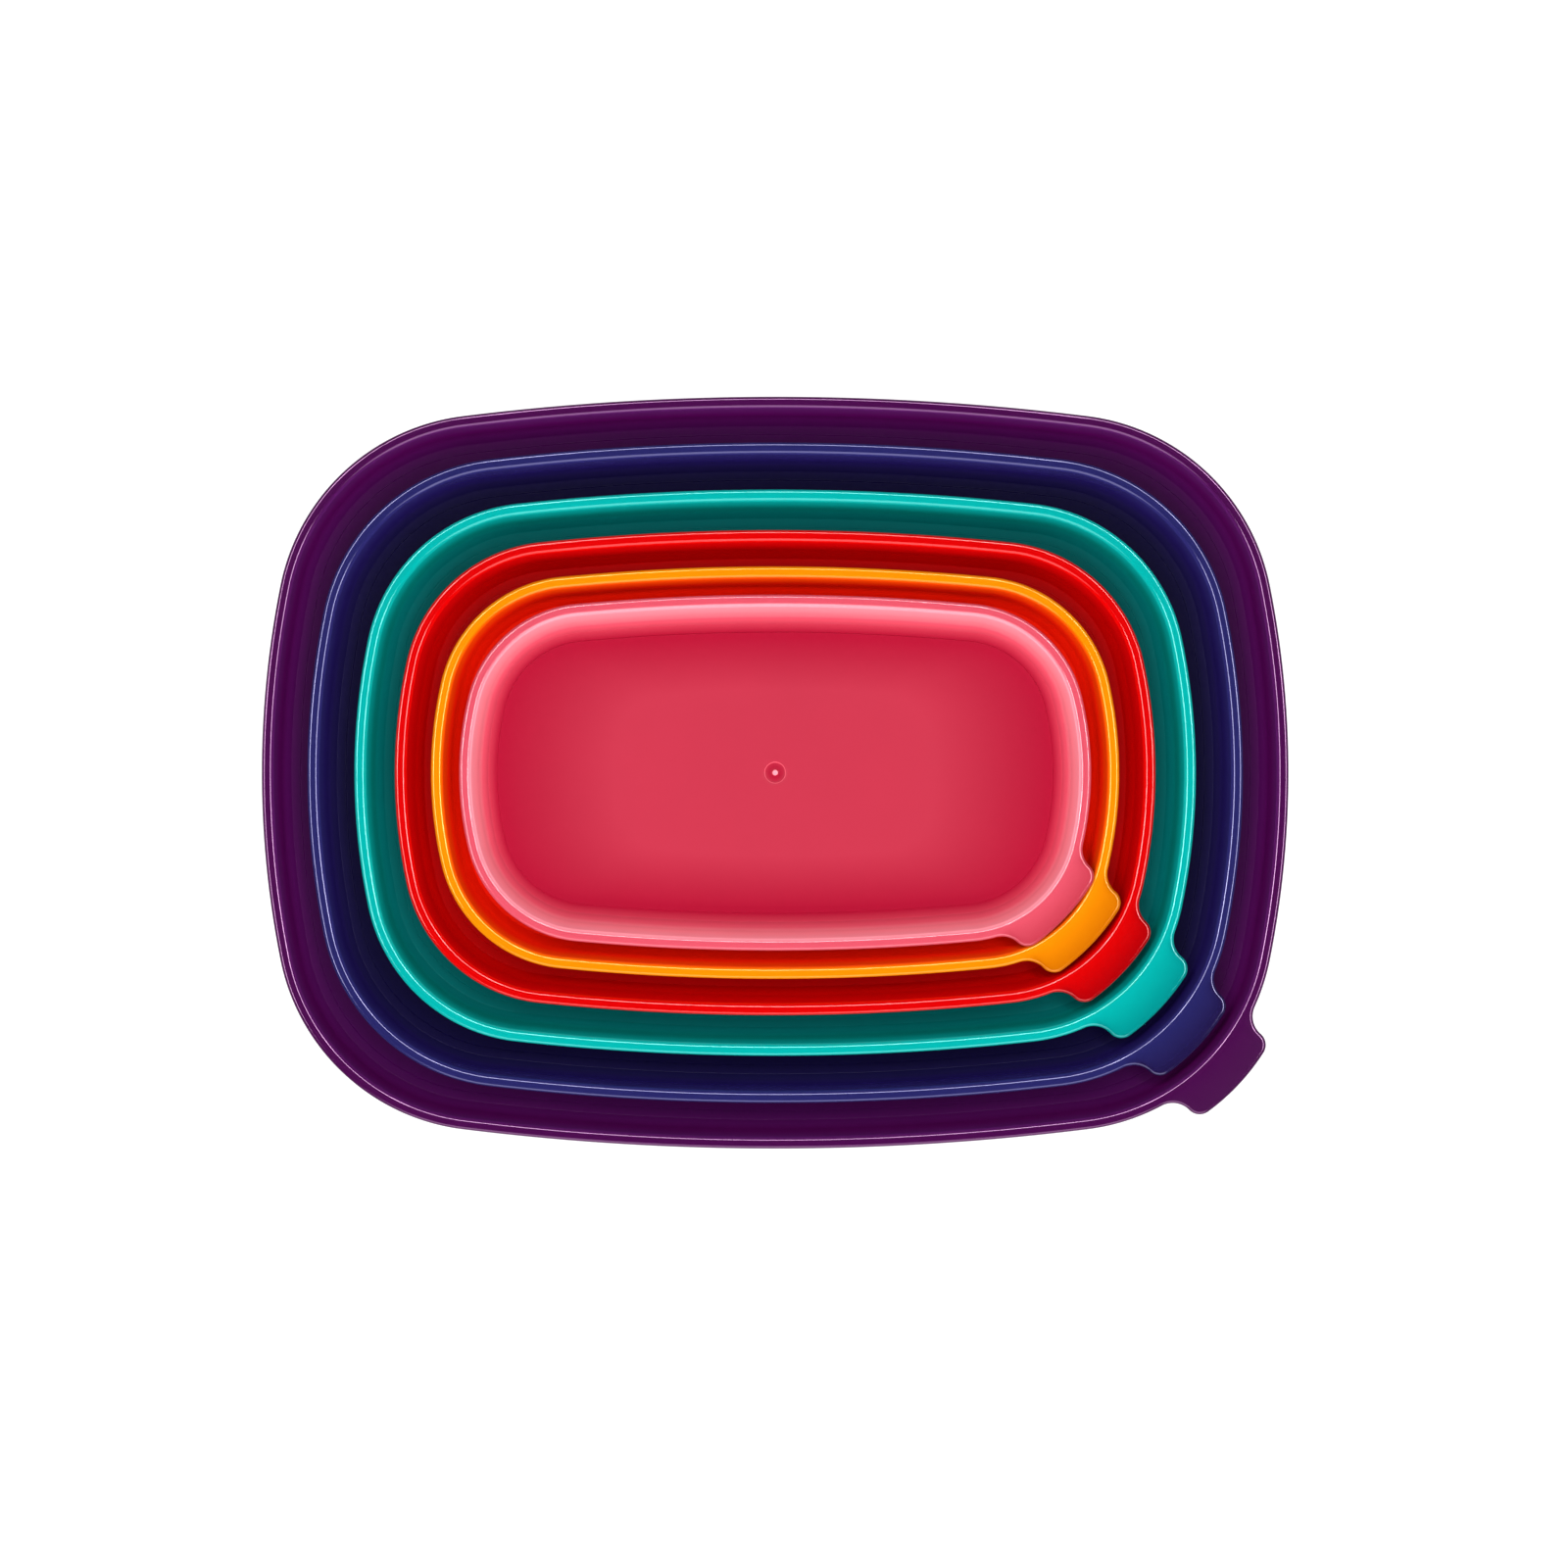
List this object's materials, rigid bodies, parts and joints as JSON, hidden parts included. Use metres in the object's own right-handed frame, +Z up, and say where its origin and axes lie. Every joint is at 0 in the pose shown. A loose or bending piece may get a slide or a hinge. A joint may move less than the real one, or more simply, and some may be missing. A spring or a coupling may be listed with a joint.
{
  "type": "snap lid food container",
  "caption": "Nesting set of snap lid food containers: bowed rectangular tubs stored one in the next, with peel-tab lids nested on top.",
  "frame": {"origin": "middle of the largest tub's foot, on the surface it stands on", "axes": "+Z up, +X along the long side; the peel tabs are at the +X, -Y corner"},
  "size_m": [0.29, 0.2124, 0.0895],
  "materials": {
    "purple_plastic": "glossy moulded polypropylene, slightly translucent",
    "navy_plastic": "glossy moulded polypropylene, slightly translucent",
    "teal_plastic": "glossy moulded polypropylene, slightly translucent",
    "red_plastic": "glossy moulded polypropylene, slightly translucent",
    "orange_plastic": "glossy moulded polypropylene, slightly translucent",
    "pink_plastic": "glossy moulded polypropylene, slightly translucent"
  },
  "bodies": {
    "tub_purple": {"tub_purple": "purple_plastic"},
    "lid_purple": {"lid_purple": "purple_plastic"},
    "tub_navy": {"tub_navy": "navy_plastic"},
    "lid_navy": {"lid_navy": "navy_plastic"},
    "tub_teal": {"tub_teal": "teal_plastic"},
    "lid_teal": {"lid_teal": "teal_plastic"},
    "tub_red": {"tub_red": "red_plastic"},
    "lid_red": {"lid_red": "red_plastic"},
    "tub_orange": {"tub_orange": "orange_plastic"},
    "lid_orange": {"lid_orange": "orange_plastic"},
    "tub_pink": {"tub_pink": "pink_plastic"},
    "lid_pink": {"lid_pink": "pink_plastic"}
  },
  "joints": [
    {"name": "lift_tub_navy", "type": "slide", "parent": "tub_purple", "child": "tub_navy", "axis": [0, 0, 1], "range_m": [0, 0.09]},
    {"name": "lift_tub_teal", "type": "slide", "parent": "tub_navy", "child": "tub_teal", "axis": [0, 0, 1], "range_m": [0, 0.08]},
    {"name": "lift_tub_red", "type": "slide", "parent": "tub_teal", "child": "tub_red", "axis": [0, 0, 1], "range_m": [0, 0.07]},
    {"name": "lift_tub_orange", "type": "slide", "parent": "tub_red", "child": "tub_orange", "axis": [0, 0, 1], "range_m": [0, 0.065]},
    {"name": "lift_tub_pink", "type": "slide", "parent": "tub_orange", "child": "tub_pink", "axis": [0, 0, 1], "range_m": [0, 0.06]},
    {"name": "lift_lid_purple", "type": "slide", "parent": "tub_pink", "child": "lid_purple", "axis": [0, 0, 1], "range_m": [0, 0.06]},
    {"name": "lift_lid_navy", "type": "slide", "parent": "lid_purple", "child": "lid_navy", "axis": [0, 0, 1], "range_m": [0, 0.04]},
    {"name": "lift_lid_teal", "type": "slide", "parent": "lid_navy", "child": "lid_teal", "axis": [0, 0, 1], "range_m": [0, 0.04]},
    {"name": "lift_lid_red", "type": "slide", "parent": "lid_teal", "child": "lid_red", "axis": [0, 0, 1], "range_m": [0, 0.04]},
    {"name": "lift_lid_orange", "type": "slide", "parent": "lid_red", "child": "lid_orange", "axis": [0, 0, 1], "range_m": [0, 0.04]},
    {"name": "lift_lid_pink", "type": "slide", "parent": "lid_orange", "child": "lid_pink", "axis": [0, 0, 1], "range_m": [0, 0.04]}
  ]
}
